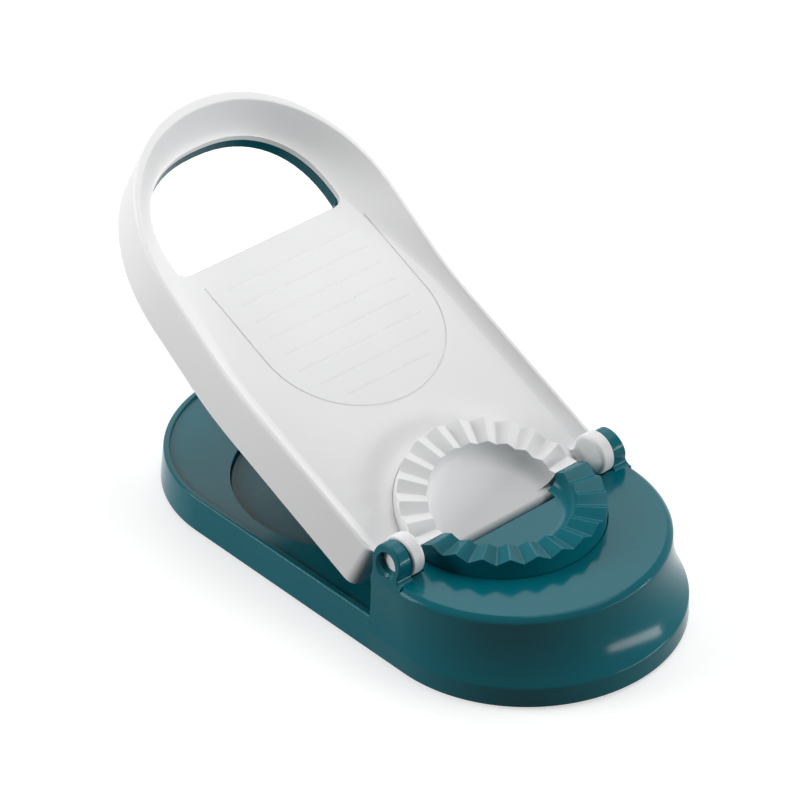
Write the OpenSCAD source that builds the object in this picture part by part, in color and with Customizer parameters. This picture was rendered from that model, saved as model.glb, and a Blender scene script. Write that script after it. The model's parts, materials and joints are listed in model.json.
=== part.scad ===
// Two-in-one dumpling and empanada press.
// A teal base carries a round dough bed on its low rear deck and half of a toothed
// crimping mould on its high front deck. A white lid turns half a circle on the hinge
// between them: lying back it flattens the dough, lying forward it crimps the parcel.
// Base pieces are drawn with x = 0 on the hinge axis and z = 0 on the table; lid pieces
// with the hinge axis at the origin and +x toward the handle.

/* [Base] */
// Length of the footprint
base_len = 229; // [200:1:280]
// Width of the footprint
base_w = 115; // [112:1:140]
// Distance from the hinge axis to the front end of the footprint
hinge_to_front = 70.5; // [64:0.5:86]
// Height of the rim round the rear deck
rear_rim_z = 14.5; // [13:0.5:18]
// Height of the front deck
front_deck_z = 34; // [32:0.5:37]
// Wall of the base shell
base_wall = 2.4; // [1.8:0.1:3]
// How far the side walls lean in between the table and the rear rim
rear_lean = 1.4; // [0:0.1:3]
// How far the side walls lean in between the table and the front deck
front_lean = 2.1; // [0:0.1:4]
// How far the foot of the front wall reaches past the deck edge
flare_run = 7.8; // [4:0.1:12]
// Height of the upright band below the flare
foot_band = 9; // [4:0.5:12]
// How late the flare turns out on its way down; 2 is an even sweep
flare_power = 2.8; // [1.5:0.1:4]
// Radius of the rounded edge round the front deck
deck_round = 2.2; // [0.5:0.1:3]
// Width of the raised rim round the rear deck
rim_band = 2.5; // [2:0.1:4]
// How far the rear deck lies below its rim
deck_drop = 1; // [0.5:0.1:2]

/* [Hinge] */
// Height of the hinge axis above the table
hinge_z = 39.6; // [38:0.1:48]
// Angle at which the lid stands open
open_angle = 24.1; // [0:0.1:150]
// Distance from the side of the base to the outer face of an ear, at its top
ear_inset = 5; // [4:0.1:7]
// Thickness of an ear
ear_t = 4.7; // [3.5:0.1:6]
// Radius of the rounded top of an ear
ear_r = 7; // [6:0.1:9]
// Radius of the lid's hinge barrels
barrel_r = 7.8; // [6.5:0.1:9]
// Length of a hinge barrel
barrel_len = 5.6; // [4:0.1:8]
// Radius of the hinge pins
pin_r = 4.15; // [3:0.05:5]
// How far a pin's end lies below the top of its ear's outer face
pin_recess = 1.5; // [0:0.1:3]
// Running clearance of a pin in its ear, on the radius
run_gap = 0.05; // [0.02:0.01:0.1]

/* [Lid] */
// Distance from the hinge axis to the end of the handle
lid_len = 190; // [175:1:230]
// Distance from the side of the base to the side of the lid
lid_inset = 2.9; // [2:0.1:4]
// Wall of the lid shell
lid_wall = 2.4; // [1.8:0.1:3]
// How far the lid's rim lies below the hinge axis when the lid is closed
rim_drop = 4.2; // [3:0.1:6]
// How far the lid's panel lies below the hinge axis
panel_drop = 7.35; // [6.5:0.05:9]
// How far the lid's sides lean in between the skirt edge and the rim
lid_lean = 1.2; // [0:0.1:3]
// Width of the soft slope between the rim and the panel
rim_slope_w = 4.6; // [3:0.1:8]
// Rounding of the lid's two corners beside the hinge
lid_corner = 5; // [0.5:0.1:7]
// Width of the rim itself
rim_w = 2; // [1:0.1:4]
// Distance from the hinge axis to the bend where the handle starts to rise
bend_at = 92; // [85:1:105]
// Rise of the rim per millimetre beyond the bend
bend_rise = 0.2; // [0.1:0.01:0.3]
// Distance from the hinge axis to the straight edge of the hand hole
hole_at = 136.4; // [130:0.1:142]
// Width of the hand hole
hole_w = 76.8; // [60:0.1:84]
// Length of the hand hole
hole_len = 42.6; // [30:0.1:48]
// Rise of the hand hole's edge per millimetre
hole_rise = 0.16; // [0:0.01:0.2]

/* [Crimping mould] */
// Outer radius of the toothed ring
ring_r = 37.4; // [31:0.1:40]
// Width of the toothed ring
ring_band = 10.8; // [8:0.1:12]
// Height of the teeth
tooth_h = 2.5; // [1:0.1:3]
// Number of teeth in the half ring
teeth = 12; // [8:1:16]
// Radius of the flat floor of the bowl
bowl_r = 20; // [14:0.1:22]
// Gap between the two half moulds when they bite
bite_gap = 0.4; // [0.3:0.05:1]
// How far the floor of the lid's bowl lies below the lid's panel
bowl_sink = 0.25; // [0:0.05:1]

/* [Dough press] */
// Distance from the hinge axis to the middle of the dough bed
bed_at = 75; // [70:0.5:80]
// Radius of the dough bed
bed_r = 48; // [38:0.5:49]
// Thickness of the dough bed
bed_t = 2.2; // [1.5:0.1:3]
// How far the dough bed lies below the rear rim
bed_drop = 2.9; // [2:0.1:4]
// Radius of the press plate under the lid
press_r = 46; // [36:0.5:47.5]
// Thickness of the dough that is left between the bed and the press plate
dough_t = 2; // [1.5:0.1:3]
// Thickness of the press plate
press_t = 2.6; // [2:0.1:3]

/* [Feet and fasteners] */
// Radius of a rubber foot
foot_r = 9; // [6:0.5:12]
// How far the feet lift the base shell off the table
foot_lift = 1; // [0.5:0.1:2]
// Depth of the pocket that holds a foot
foot_pocket = 1.4; // [0.8:0.1:1.6]
// Radius of a screw's shank
screw_r = 1.4; // [1.2:0.1:1.6]
// Radius of a screw's head
screw_head_r = 2.8; // [2.4:0.1:3.2]
// Height of a screw's head
screw_head_h = 1.2; // [1:0.1:1.4]
// Radius of a screw boss
boss_r = 3.6; // [3:0.1:4]

/* [Hidden] */
$fn = 96;

// Colours
teal = [0.02, 0.36, 0.40];
dark_teal = [0.02, 0.27, 0.31];
ivory = [0.91, 0.91, 0.90];
rubber = [0.20, 0.20, 0.21];
steel = [0.72, 0.73, 0.75];

// Clearances
seat_gap = 0.3;      // closed lid above the rear rim
slip_gap = 0.15;     // an insert in its pocket
collar_gap = 0.3;    // underplate's collar below the lid shell
thread_gap = 0.02;   // a screw in its pilot hole, a pin in its barrel
swing_gap = 0.5;     // lid parts passing the ears and the barrels' troughs
end_gap = 0.25;      // end of a barrel beside its ear
nose_gap = 0.7;      // lid's nose passing its notch in the base
face_gap = 0.1;      // two flat faces that meet

// Base, worked out
hinge_x = base_len / 2 - hinge_to_front;
half_w = base_w / 2;
rear_x = hinge_to_front - base_len + half_w;
foot_x = hinge_to_front - half_w;
deck_r = half_w - front_lean;
deck_x = hinge_to_front - flare_run - deck_r;
ear_overhang = 0.7;  // rear of an ear behind the step between the decks
step_x = ear_overhang - ear_r;
ear_out = half_w - ear_inset;
ear_in = ear_out - ear_t;
bed_z = rear_rim_z - bed_drop;
bottom_top = foot_lift + base_wall;
hollow_top = rear_rim_z - deck_drop - base_wall;

// Lid, worked out; w is the height above the hinge axis of the closed lid
lid_half = half_w - lid_inset;
lid_front = ear_r + swing_gap;
skirt_w = rear_rim_z + seat_gap - hinge_z;
lid_depth = -rim_drop - skirt_w;
end_at = 128;        // distance from the hinge at which the lid's round end starts
end_power = 2.1;     // squareness of the lid's round end
hole_power = 2.33;   // squareness of the hand hole
hole_corner = 4;     // corner of the hand hole at its straight edge
hole_ledge = 1;      // flat border round the hand hole
slope_ease = 0.16;   // how level the recess's slope leaves the panel; 0.5 is a straight slope
tip_band = 2;        // extra width of the rim at the handle's tip
bend_soft = 12;      // half of the stretch over which the handle starts to rise
plate_lift = 0.6;    // underplate above the skirt edge
panel_half = lid_half - lid_lean - rim_w - rim_slope_w;
panel_taper = (panel_half - hole_w / 2 - hole_ledge) / (hole_at - bend_at);
barrel_y = ear_in - end_gap - barrel_len;
barrel_round = 1.2;  // softened inner end of a barrel

// Moulds, worked out
ring_in = ring_r - ring_band;
pocket_r = ring_r + slip_gap;
pocket_depth = 5.4;
mould_seat_z = front_deck_z - pocket_depth;
mould_skin = 2.2;
nose_r = 2.6;
nose_x = 1.6;        // middle of the nose behind the hinge axis
nose_w = -panel_drop - bowl_sink - nose_r;
upper_seat = nose_w - nose_r;
shelf_z = hinge_z + upper_seat - nose_gap;
notch_x = nose_x + nose_r + nose_gap;
notch_y = ring_in + nose_gap;
split = 0.35;        // each half mould stops this far from the hinge plane

// Screws, feet and pegs
screw_bite = 2.2;    // length of a mould screw in its boss
screw_len = 8;       // length of a screw of the lid's underplate
foot_in = 18;        // middle of a foot from the side of the base
peg_ring = 30;       // radius on which the press plate's pegs stand
peg_r = 2.5;
peg_flare = 1.2;     // width and height of a peg's staked head

// Smooth rise of the lid's rim and skirt beyond the bend
function rise(u) = u < bend_at - bend_soft ? 0
    : u < bend_at + bend_soft ? bend_rise * (u - bend_at + bend_soft) ^ 2 / (4 * bend_soft)
    : bend_rise * (u - bend_at);
// Height of the panel, and beyond the straight edge of the hand hole of its border
function panel_w(u) = -panel_drop + max(0, u - hole_at) * hole_rise;

// Quarter of a superellipse from its side to its tip
function quarter(x0, a, b, power, steps = 16) =
    [for (i = [0 : steps])
        let (t = 90 * i / steps)
        [x0 + a * pow(sin(t), 2 / power), i == steps ? 0 : b * pow(cos(t), 2 / power)]];

// Closed ring of points from a list of points on the +y side that ends on y = 0
function whole(side) = concat(side,
    [for (i = [len(side) - 2 : -1 : 0]) [side[i][0], -side[i][1], side[i][2]]]);

// Solid through a stack of rings; each ring is symmetrical and its tip lies on y = 0
module loft(sides) {
    rings = [for (side = sides) whole(side)];
    n = len(rings[0]);
    k = (n - 1) / 2;
    top = (len(rings) - 1) * n;
    function wall(a, b, c, d) = [[a, b, c], [a, c, d]];
    walls = [for (l = [0 : len(rings) - 2]) for (i = [0 : n - 1])
        let (j = (i + 1) % n)
        each wall(l * n + i, l * n + j, (l + 1) * n + j, (l + 1) * n + i)];
    function cap(i) = i < k - 1 ? wall(i, i + 1, n - 2 - i, n - 1 - i) : [[k - 1, k, k + 1]];
    caps = [for (i = [0 : k - 1]) for (f = cap(i)) each [[top + f[0], top + f[1], top + f[2]],
        [f[2], f[1], f[0]]]];
    polyhedron(points = [for (ring = rings) each ring], faces = concat(walls, caps));
}

// Screw standing on its head, which has a cross recess below
module screw(len) {
    difference() {
        cylinder(r = screw_head_r, h = screw_head_h);
        for (a = [0, 90])
            rotate([0, 0, a])
                translate([-screw_head_r * 0.6, -0.35, -0.1])
                    cube([screw_head_r * 1.2, 0.7, 0.7]);
    }
    cylinder(r = screw_r, h = len);
}

module at_each(places) {
    for (p = places)
        translate(p)
            children();
}

// Half disc on the +x side
module half_disc(r, h, x0 = 0) {
    intersection() {
        cylinder(r = r, h = h);
        translate([x0, -r, 0])
            cube([r - x0, 2 * r, h]);
    }
}

// Places of base pieces and of lid pieces
module on_base() {
    translate([hinge_x, 0, 0])
        children();
}
module on_lid() {
    translate([hinge_x, 0, hinge_z])
        rotate([0, open_angle, 0])
            mirror([1, 0, 0])
                children();
}

// ---------------------------------------------------------------- base

// How much of the foot's reach is left at height z
function flare(z) = z < foot_band ? 1
    : ((front_deck_z - z) / (front_deck_z - foot_band)) ^ flare_power;
function flare_levels(top) = [for (i = [0 : 7]) foot_band + (top - foot_band) * (i / 7) ^ 1.4];
function front_side(z, inset, back) =
    let (f = flare(z), r = deck_r + (half_w - deck_r) * f - inset, x = deck_x + (foot_x - deck_x) * f)
    concat([[back, r, z]], [for (p = quarter(x, r, r, 2)) [p[0], p[1], z]]);

// Stadium-shaped block under the whole base, leaning in toward its top
module rear_block(r_low, r_high, z_low, z_high, front = 0) {
    h = z_high - z_low;
    translate([rear_x, 0, z_low])
        cylinder(r1 = r_low, r2 = r_high, h = h);
    translate([rear_x, 0, z_low])
        rotate([90, 0, 90])
            linear_extrude(front - rear_x)
                polygon([[-r_low, 0], [r_low, 0], [r_high, h], [-r_high, h]]);
}

// Base screws: by the rear corners, behind the ears, and beside the mould's pocket
rear_screw_r = half_w - 11;
mould_screw_r = pocket_r + base_wall + 8.8;
base_screw_places = [for (s = [-1, 1]) each [
    [rear_x - rear_screw_r * cos(55), s * rear_screw_r * sin(55)],
    [step_x - 8, s * (ear_out - 8.5)],
    [mould_screw_r * cos(35), s * mould_screw_r * sin(35)]]];
function mould_screw_places(x) = [[ring_in - 3, 0], [x, bowl_r * 0.75], [x, -bowl_r * 0.75]];
lower_screw_places = mould_screw_places(13);
upper_screw_places = mould_screw_places(14);

// Hollow inside of the base, without the screw bosses
module base_hollow() {
    levels = concat([0], flare_levels(front_deck_z - base_wall));
    difference() {
        union() {
            difference() {
                loft([for (z = levels) front_side(z, base_wall, step_x + base_wall)]);
                // Floor of the mould's pocket, and the shelf below the lid's nose
                translate([0, 0, mould_seat_z - base_wall])
                    cylinder(r = pocket_r + base_wall, h = front_deck_z);
                translate([step_x, -half_w, shelf_z - base_wall])
                    cube([split + base_wall - step_x, base_w, front_deck_z]);
                translate([step_x, -notch_y - base_wall, shelf_z - base_wall])
                    cube([notch_x + base_wall - step_x, 2 * (notch_y + base_wall), front_deck_z]);
            }
            rear_block(half_w - base_wall, half_w - base_wall - rear_lean, 0, hollow_top,
                step_x + base_wall + 1);
        }
        translate([-bed_at, 0, bed_z - bed_t - base_wall])
            cylinder(r = bed_r + slip_gap + base_wall, h = front_deck_z);
        at_each([for (p = base_screw_places) [p[0], p[1], bottom_top]])
            cylinder(r = boss_r, h = front_deck_z);
    }
}

// Front block: upright band, flare and rounded deck edge, as insets and heights
module front_block() {
    low = [for (z = concat([foot_lift], flare_levels(front_deck_z - deck_round))) [0, z]];
    edge = [for (t = [30 : 30 : 90]) deck_round * [1 - cos(t), sin(t) - 1] + [0, front_deck_z]];
    loft([for (p = concat(low, edge)) front_side(p[1], p[0], step_x)]);
}

// Ear with a round top; its outer face slants out to the side wall below
module ear() {
    foot = front_deck_z - hinge_z - deck_round;
    spread = half_w - front_lean - face_gap - ear_out;
    intersection() {
        union() {
            translate([0, spread, 0])
                rotate([90, 0, 0])
                    cylinder(r = ear_r, h = ear_t + spread);
            translate([step_x, -ear_t, foot])
                cube([ear_r - step_x, ear_t + spread, -foot]);
        }
        rotate([90, 0, 90])
            translate([0, 0, -ear_r])
                linear_extrude(2 * ear_r)
                    polygon([[-ear_t, foot], [spread, foot], [0, ear_r], [-ear_t, ear_r]]);
    }
}

module base_shell() on_base() color(teal) difference() {
    union() {
        front_block();
        rear_block(half_w, half_w - rear_lean, foot_lift, rear_rim_z, step_x + 1);
        for (s = [0, 1])
            mirror([0, s, 0])
                translate([0, ear_out, hinge_z])
                    ear();
    }
    base_hollow();
    // Rear deck inside its raised rim, and the pocket of the dough bed
    difference() {
        rear_block(half_w - rear_lean - rim_band, half_w - rear_lean - rim_band,
            rear_rim_z - deck_drop, front_deck_z, step_x);
        translate([step_x, -half_w, 0])
            cube([base_len, base_w, 2 * hinge_z]);
    }
    translate([-bed_at, 0, bed_z - bed_t])
        cylinder(r = bed_r + slip_gap, h = front_deck_z);
    // Pocket of the lower mould
    translate([0, 0, mould_seat_z])
        half_disc(pocket_r, hinge_z);
    // Room for the lid's edge, its nose and its barrels
    translate([step_x - 1, -ear_in, shelf_z])
        cube([split - step_x + 1, 2 * ear_in, hinge_z]);
    translate([step_x - 1, -notch_y, shelf_z])
        cube([notch_x - step_x + 1, 2 * notch_y, hinge_z]);
    for (s = [0, 1])
        mirror([0, s, 0])
            translate([0, barrel_y - swing_gap, hinge_z])
                rotate([-90, 0, 0])
                    cylinder(r = barrel_r + swing_gap, h = barrel_len + end_gap + swing_gap);
    // Bores of the ears
    translate([0, -half_w, hinge_z])
        rotate([-90, 0, 0])
            cylinder(r = pin_r + run_gap, h = base_w);
    // Pilot holes of the base screws, and clear holes of the mould screws
    at_each([for (p = base_screw_places) [p[0], p[1], 0]])
        cylinder(r = screw_r + thread_gap, h = bed_z - bed_t - 0.8);
    at_each([for (p = lower_screw_places) [p[0], p[1], mould_seat_z - base_wall - 1]])
        cylinder(r = screw_r + slip_gap, h = base_wall + 2);
}

foot_places = [[rear_x, 1], [rear_x, -1], [foot_x, 1], [foot_x, -1]];
function foot_place(i) = [foot_places[i][0], foot_places[i][1] * (half_w - foot_in)];

module base_bottom() on_base() color(dark_teal) difference() {
    plate_r = half_w - base_wall - rear_lean * bottom_top / hollow_top - slip_gap;
    translate([0, 0, foot_lift])
        linear_extrude(base_wall) {
            translate([rear_x, 0])
                circle(r = plate_r);
            translate([foot_x, 0])
                circle(r = plate_r);
            translate([rear_x, -plate_r])
                square([foot_x - rear_x, 2 * plate_r]);
        }
    for (i = [0 : 3])
        translate(concat(foot_place(i), [0]))
            cylinder(r = foot_r + slip_gap, h = foot_lift + foot_pocket);
    at_each([for (p = base_screw_places) [p[0], p[1], 0]]) {
        cylinder(r = screw_r + slip_gap, h = bottom_top + 1);
        cylinder(r = screw_head_r + slip_gap, h = foot_lift + screw_head_h + 0.1);
    }
}

module foot(i) on_base() color(rubber)
    translate(concat(foot_place(i), [0]))
        rotate_extrude()
            polygon([[0, 0], [foot_r - 0.8, 0], [foot_r, 0.8], [foot_r, foot_lift + foot_pocket],
                [0, foot_lift + foot_pocket]]);

module foot_rear_left() { foot(0); }
module foot_rear_right() { foot(1); }
module foot_front_left() { foot(2); }
module foot_front_right() { foot(3); }

module dough_bed() on_base() color(dark_teal)
    translate([-bed_at, 0, bed_z - bed_t])
        rotate_extrude()
            polygon([[0, 0], [bed_r, 0], [bed_r, bed_t], [bed_r - 1, bed_t], [bed_r - 1.6, bed_t - 0.4],
                [0, bed_t - 0.4]]);

// Row of roof-shaped prisms that fan out from the hinge's middle, one in each tooth
// space; with dir = 1 they open upward and cut valleys, with dir = -1 they are ridges.
// Their flat sides all meet in one point, so two such rings bite face to face.
module tooth_fan(dir) {
    slope = tooth_h / (ring_r * sin(90 / teeth));
    h = 3 * tooth_h;
    for (i = [0 : teeth])
        rotate([0, 0, -90 + 180 * i / teeth])
            rotate([90, 0, 90])
                linear_extrude(ring_r + 1)
                    polygon([[0, 0], [h / slope, dir * h], [-h / slope, dir * h]]);
}

// Bowl inside the toothed ring: a dished wall from the ring's inner edge to the floor
module bowl(z_floor, z_edge) {
    drop = z_edge - z_floor;
    run = ring_in - bowl_r;
    rotate_extrude()
        polygon(concat([[0, z_floor]],
            [for (t = [0 : 15 : 90]) [bowl_r + run * sin(t), z_floor + drop * (1 - cos(t))]],
            [[ring_in, z_edge + 10], [0, z_edge + 10]]));
}

// Finishes a half mould: its bowl, its hollow underside, its screw bosses and pilot holes
module mould(seat, floor_z, edge_z, rim_z, pins, front_wall) {
    difference() {
        children();
        bowl(floor_z, edge_z);
        difference() {
            union() {
                translate([0, 0, seat - 1])
                    half_disc(ring_r - mould_skin, floor_z - mould_skin - seat + 1,
                        front_wall + mould_skin);
                translate([0, 0, seat])
                    difference() {
                        half_disc(ring_r - mould_skin, rim_z - mould_skin - seat, front_wall + mould_skin);
                        translate([0, 0, -1])
                            cylinder(r = ring_in + mould_skin, h = 2 * ring_r);
                    }
            }
            at_each([for (p = pins) [p[0], p[1], seat - 1]])
                cylinder(r = boss_r, h = floor_z - seat);
        }
        at_each([for (p = pins) [p[0], p[1], seat - 1]])
            cylinder(r = screw_r + thread_gap, h = floor_z - seat - 0.4);
    }
}

module lower_mould() on_base() color(teal) difference() {
    mould(mould_seat_z, front_deck_z - face_gap, hinge_z + tooth_h / 2, hinge_z, lower_screw_places,
        notch_x)
        difference() {
            translate([0, 0, mould_seat_z])
                half_disc(ring_r, hinge_z + 2 * tooth_h - mould_seat_z, split);
            translate([0, 0, hinge_z])
                tooth_fan(1);
        }
    // Room for the lid's nose, as it lies when the lid is closed
    room = max(pocket_depth, hinge_z + nose_w + nose_r + nose_gap - mould_seat_z);
    translate([-1, collar_gap - notch_y, mould_seat_z - 1])
        cube([notch_x + 1, 2 * (notch_y - collar_gap), room + 1 + face_gap]);
}

module base_screws() on_base() color(steel)
    at_each([for (p = base_screw_places) [p[0], p[1], foot_lift + face_gap]])
        screw(bed_z - bed_t - 2 - foot_lift);

module lower_mould_screws() on_base() color(steel)
    at_each([for (p = lower_screw_places) [p[0], p[1], mould_seat_z - base_wall - screw_head_h]])
        screw(screw_head_h + base_wall + screw_bite);

// ---------------------------------------------------------------- lid

// Distances from the hinge at which the lid's straight sides have points
function stations(start) = concat([start], [for (i = [-2 : 2]) bend_at + i * bend_soft / 2]);
// Side of the lid's outline at a distance inset inside the skirt edge
function lid_side(inset, start) =
    let (r = max(0.2, lid_corner - inset))
    concat([for (t = [0 : 30 : 60]) [start + r * (1 - cos(t)), lid_half - inset - r * (1 - sin(t))]],
        [for (u = stations(start + r)) [u, lid_half - inset]],
        quarter(end_at, lid_len - end_at - inset, lid_half - inset, end_power));
function lid_level(inset, start, w) =
    [for (p = lid_side(inset, start)) [p[0], p[1], w + rise(p[0])]];

// Side of the recess in the lid's top: its floor, and its edge along the rim
function recess_floor(grow) = concat(
    [for (u = stations(-2))
        [u, panel_half + grow - max(0, u - bend_at) * panel_taper, -panel_drop - grow]],
    [for (p = quarter(hole_at, hole_len + hole_ledge + grow, hole_w / 2 + hole_ledge + grow, hole_power))
        [p[0], p[1], panel_w(p[0]) - grow]]);
function recess_edge(grow, w) =
    let (in = lid_lean + rim_w - grow)
    concat([for (u = stations(-2)) [u, lid_half - in, w + rise(u)]],
        [for (p = quarter(end_at, lid_len - in - tip_band - end_at, lid_half - in, end_power))
            [p[0], p[1], w + rise(p[0])]]);
// Recess with a hollow slope: it leaves the panel almost level and steepens toward the rim
module recess(grow) {
    floor = recess_floor(grow);
    edge = recess_edge(grow, -rim_drop);
    slope = [for (t = [0 : 0.25 : 0.75])
        let (up = 2 * slope_ease * t * (1 - t) + t * t)
        [for (i = [0 : len(floor) - 1])
            let (d = edge[i] - floor[i])
            floor[i] + [d[0] * t, d[1] * t, d[2] * up]]];
    loft(concat(slope, [edge, recess_edge(grow, -rim_drop + lid_depth)]));
}

// Hand hole grown on all sides
module hand_hole(grow) {
    side = concat([[hole_at - grow, hole_w / 2 + grow - hole_corner]],
        quarter(hole_at + hole_corner, hole_len - hole_corner + grow, hole_w / 2 + grow, hole_power));
    translate([0, 0, -hinge_z])
        linear_extrude(2 * hinge_z)
            polygon([for (p = whole([for (q = side) [q[0], q[1], 0]])) [p[0], p[1]]]);
}

// Lid screws: by the hinge, beside the press plate, and between the hand hole and the sides
lid_screw_places = [for (s = [-1, 1]) each [
    [lid_front + 14.5, s * (lid_half - 10.6)],
    [bed_at, s * (press_r + screw_head_r + face_gap)],
    [hole_at + 13.6, s * (hole_w / 2 + lid_half - lid_wall - 1.6) / 2]]];

// Inside of the lid shell above the underplate, without the screw bosses
module lid_hollow() {
    low = skirt_w + plate_lift + lid_wall;
    difference() {
        loft([lid_level(lid_wall, lid_front + lid_wall, low),
            lid_level(lid_wall + lid_lean, lid_front + lid_wall, -rim_drop - lid_wall)]);
        recess(lid_wall);
        translate([0, 0, upper_seat - lid_wall])
            cylinder(r = pocket_r + lid_wall, h = hinge_z);
        at_each([for (p = lid_screw_places) [p[0], p[1], -hinge_z]])
            cylinder(r = boss_r, h = 2 * hinge_z);
    }
}

module lid_shell() on_lid() color(ivory) difference() {
    union() {
        difference() {
            union() {
                loft([lid_level(0, lid_front, skirt_w), lid_level(lid_lean, lid_front, -rim_drop)]);
                // Strip of panel between the lid's front wall and the hinge
                translate([split, -barrel_y - barrel_len, -panel_drop - lid_wall])
                    cube([lid_front + lid_wall, 2 * (barrel_y + barrel_len), lid_wall]);
            }
            recess(0);
            lid_hollow();
        }
        // Hinge barrels and the webs that join them to the lid
        for (s = [0, 1])
            mirror([0, s, 0])
                translate([0, barrel_y, 0]) {
                    rotate([-90, 0, 0]) {
                        cylinder(r1 = barrel_r - barrel_round, r2 = barrel_r, h = barrel_round);
                        translate([0, 0, barrel_round])
                            cylinder(r = barrel_r, h = barrel_len - barrel_round);
                    }
                    translate([0, 0, -panel_drop - lid_wall])
                        cube([lid_front + lid_wall, barrel_len, panel_drop + lid_wall - rim_drop]);
                }
    }
    hand_hole(0);
    // Pocket of the upper mould
    translate([0, 0, upper_seat])
        half_disc(pocket_r, hinge_z, -1);
    // Bay of the underplate
    loft([lid_level(lid_wall, lid_front + lid_wall, skirt_w - 1),
        lid_level(lid_wall, lid_front + lid_wall, skirt_w + plate_lift + lid_wall)]);
    // Bores of the barrels
    translate([0, -half_w, 0])
        rotate([-90, 0, 0])
            cylinder(r = pin_r + thread_gap, h = base_w);
    // Pilot holes of the lid screws, and clear holes of the mould screws
    at_each([for (p = lid_screw_places) [p[0], p[1], skirt_w + rise(p[0])]])
        cylinder(r = screw_r + thread_gap, h = screw_len + 1);
    at_each([for (p = upper_screw_places) [p[0], p[1], upper_seat - lid_wall - 1]])
        cylinder(r = screw_r + slip_gap, h = lid_wall + 2);
}

peg_places = [for (a = [60, 120, 240, 300]) [bed_at + peg_ring * cos(a), peg_ring * sin(a)]];

module lid_underplate() on_lid() color(teal) {
    inset = lid_wall + slip_gap;
    start = lid_front + inset;
    low = skirt_w + plate_lift;
    difference() {
        union() {
            loft([lid_level(inset, start, low), lid_level(inset, start, low + lid_wall)]);
            // Collar that lines the hand hole up to the lid shell
            intersection() {
                hand_hole(lid_wall);
                loft([lid_level(inset, start, low + 1),
                    [for (p = lid_side(inset, start))
                        [p[0], p[1], panel_w(p[0]) - lid_wall - collar_gap]]]);
            }
        }
        hand_hole(0);
        at_each([for (p = peg_places) [p[0], p[1], -hinge_z]])
            cylinder(r = peg_r + slip_gap, h = hinge_z);
        at_each([for (p = lid_screw_places) [p[0], p[1], skirt_w + rise(p[0]) - 2]]) {
            cylinder(r = screw_r + slip_gap, h = 10);
            cylinder(r = screw_head_r + slip_gap, h = 2 + plate_lift + screw_head_h + 0.2);
        }
    }
}

// Flat-bottomed cup below the underplate; its wall follows the bend of the lid
module press_plate() on_lid() color(dark_teal) {
    low = bed_z - hinge_z + dough_t;
    top = skirt_w + plate_lift;
    difference() {
        translate([bed_at, 0, low])
            cylinder(r = press_r, h = lid_depth);
        loft([lid_level(-5, 0, top - face_gap), lid_level(-5, 0, top + 2 * lid_depth)]);
        difference() {
            translate([bed_at, 0, low + press_t])
                cylinder(r = press_r - press_t, h = lid_depth);
            at_each([for (p = peg_places) [p[0], p[1], low]])
                cylinder(r = peg_r + 1.5, h = lid_depth);
        }
    }
    // Pegs staked over on the far side of the underplate
    for (p = peg_places)
        translate([p[0], p[1], low + 1]) {
            h = top + rise(p[0] + peg_r + peg_flare) + lid_wall + face_gap - low - 1;
            cylinder(r = peg_r, h = h + face_gap);
            translate([0, 0, h])
                cylinder(r1 = peg_r + peg_flare, r2 = peg_r, h = peg_flare);
        }
}

module upper_mould() on_lid() color(ivory) {
    floor_w = -panel_drop - bowl_sink;
    mould(upper_seat, floor_w, -bite_gap - tooth_h / 2, -bite_gap - tooth_h, upper_screw_places,
        lid_front) {
        translate([0, 0, upper_seat])
            half_disc(ring_r, -panel_drop - upper_seat, split);
        intersection() {
            translate([0, 0, upper_seat])
                half_disc(ring_r, -upper_seat, split);
            translate([0, 0, -bite_gap])
                tooth_fan(-1);
        }
        // Rounded nose along the hinge side of the bowl
        translate([-nose_x, -ring_in, nose_w])
            rotate([-90, 0, 0]) {
                cylinder(r = nose_r, h = 2 * ring_in);
                translate([0, -nose_r, 0])
                    cube([nose_x + 2, 2 * nose_r, 2 * ring_in]);
            }
    }
}

module hinge_pin(s) on_lid() color(ivory)
    mirror([0, s, 0])
        translate([0, barrel_y, 0])
            rotate([-90, 0, 0])
                cylinder(r = pin_r, h = ear_out - pin_recess - barrel_y);

module hinge_pin_left() { hinge_pin(0); }
module hinge_pin_right() { hinge_pin(1); }

module lid_screws() on_lid() color(steel)
    at_each([for (p = lid_screw_places) [p[0], p[1], skirt_w + rise(p[0]) + plate_lift + 2 * face_gap]])
        screw(screw_len);

module upper_mould_screws() on_lid() color(steel)
    at_each([for (p = upper_screw_places) [p[0], p[1], upper_seat - lid_wall - screw_head_h]])
        screw(screw_head_h + lid_wall + screw_bite);

base_shell();
base_bottom();
lower_mould();
dough_bed();
foot_rear_left();
foot_rear_right();
foot_front_left();
foot_front_right();
base_screws();
lower_mould_screws();
lid_shell();
lid_underplate();
upper_mould();
press_plate();
hinge_pin_left();
hinge_pin_right();
lid_screws();
upper_mould_screws();
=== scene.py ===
# %% [markdown]
# # A two-in-one press for dumplings and empanadas
# The press has two halves that turn on one hinge. The teal base stands on the table. Its low
# rear deck holds a round dough bed, and its high front deck holds half of a toothed ring.
# The white lid carries a press plate on one face and the other half ring beside the hinge.
# The measured frame says where every piece is and how the lid turns. This lesson gives the
# pieces their rounded moulded forms and their finishes, and never moves them.

# %% Load the measured frame
import json
from math import acos, atan2, cos, degrees, pi, radians, sin, sqrt

import bmesh
import bpy
from mathutils import Matrix, Vector


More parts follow.
